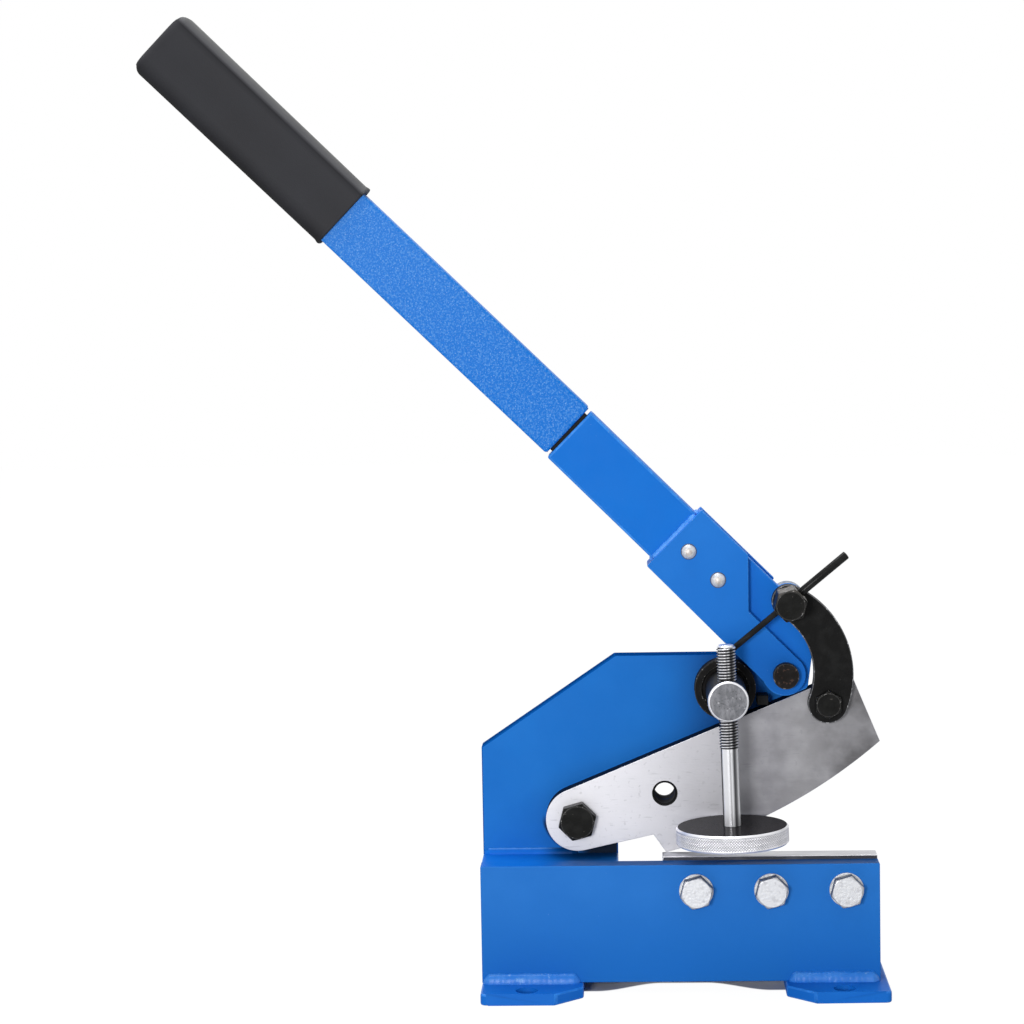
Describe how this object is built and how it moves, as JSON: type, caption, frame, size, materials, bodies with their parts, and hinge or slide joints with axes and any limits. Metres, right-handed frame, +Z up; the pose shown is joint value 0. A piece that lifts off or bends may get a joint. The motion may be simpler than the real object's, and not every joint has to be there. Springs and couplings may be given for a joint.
{
  "type": "bench lever shear",
  "caption": "Bench-mounted lever shear with a fixed lower blade, a swinging upper blade pulled through a link, a long handle and a screw hold-down.",
  "frame": {"origin": "centre of the four bench holes, on the underside of the feet", "axes": "+X along the blades from the pivot to the free end, +Y away from the user across the blades, +Z up"},
  "size_m": [0.3858, 0.1063, 0.5143],
  "materials": {
    "blue_paint": "smooth saturated blue paint, satin gloss",
    "hammer_paint": "lighter blue hammer-finish paint",
    "blade_steel": "ground tool steel, fine grain along the blade",
    "bright_steel": "turned bright steel",
    "zinc_steel": "zinc-plated, dull",
    "black_steel": "black oxide, oiled",
    "grip_vinyl": "matte dark grey vinyl"
  },
  "bodies": {
    "frame": {"foot_left": "blue_paint", "foot_right": "blue_paint", "front_plate": "blue_paint", "main_plate": "blue_paint", "spacer_block": "blue_paint", "foot_welds": "blue_paint", "ledge_weld": "blue_paint", "lower_blade": "blade_steel", "lower_blade_bolts": "zinc_steel", "lower_blade_washers": "zinc_steel", "blade_pivot_bolt": "black_steel", "blade_pivot_washer": "black_steel", "blade_pivot_nut": "black_steel", "lever_pivot_bolt": "black_steel", "lever_pivot_washer": "black_steel", "lever_pivot_nut": "black_steel", "clamp_boss": "black_steel", "stop_block": "black_steel"},
    "lever": {"lever_core": "blue_paint", "front_cheek": "blue_paint", "rear_strap": "blue_paint", "cheek_screws": "zinc_steel", "cheek_nuts": "zinc_steel", "socket_tube": "blue_paint", "arm_welds": "blue_paint", "splice_bar": "black_steel", "handle_tube": "hammer_paint", "handle_grip": "grip_vinyl"},
    "blade": {"upper_blade": "blade_steel"},
    "link": {"link_plate": "black_steel", "link_pin_bolt": "black_steel"},
    "link_turnscrew": {"link_screw": "black_steel", "tommy_bar": "black_steel"},
    "hold_down_stud": {"clamp_stud": "bright_steel", "clamp_stud_washer": "bright_steel", "clamp_stud_nut": "bright_steel"},
    "hold_down_screw": {"clamp_screw": "bright_steel"},
    "hold_down_disc": {"clamp_disc": "bright_steel"}
  },
  "joints": [
    {"name": "lever_swing", "type": "hinge", "parent": "frame", "child": "lever", "pos_m": [0.05545, 0.006, 0.1653], "axis": [0, 1, 0], "range_deg": [0, 98]},
    {"name": "blade_swing", "type": "hinge", "parent": "frame", "child": "blade", "pos_m": [-0.05535, 0.006, 0.0879], "axis": [0, 1, 0], "range_deg": [0, 20.3]},
    {"name": "link_swing", "type": "hinge", "parent": "lever", "child": "link", "pos_m": [0.05736, -0.003, 0.20419], "axis": [0, 1, 0], "range_deg": [-75, 0]},
    {"name": "link_screw_turn", "type": "hinge", "parent": "lever", "child": "link_turnscrew", "pos_m": [0.05736, -0.003, 0.20419], "axis": [0, 1, 0], "range_deg": [-90, 90]},
    {"name": "clamp_swing", "type": "hinge", "parent": "frame", "child": "hold_down_stud", "pos_m": [0.024, 0, 0.1568], "axis": [0, 1, 0], "range_deg": [-8, 8]},
    {"name": "clamp_lift", "type": "slide", "parent": "hold_down_stud", "child": "hold_down_screw", "axis": [-0.0244, 0, 0.9997], "range_m": [-0.006, 0.014]},
    {"name": "clamp_turn", "type": "hinge", "parent": "hold_down_screw", "child": "hold_down_disc", "pos_m": [0.02562, -0.03, 0.09032], "axis": [-0.0244, 0, 0.9997], "range_deg": [-1439, 3359]}
  ],
  "couplings": [
    {"joint": "blade_swing", "follows": "lever_swing", "ratio": 0.20633},
    {"joint": "link_swing", "follows": "lever_swing", "ratio": -0.76237},
    {"joint": "clamp_lift", "follows": "clamp_turn", "m_per_rad": 0.00023873}
  ]
}
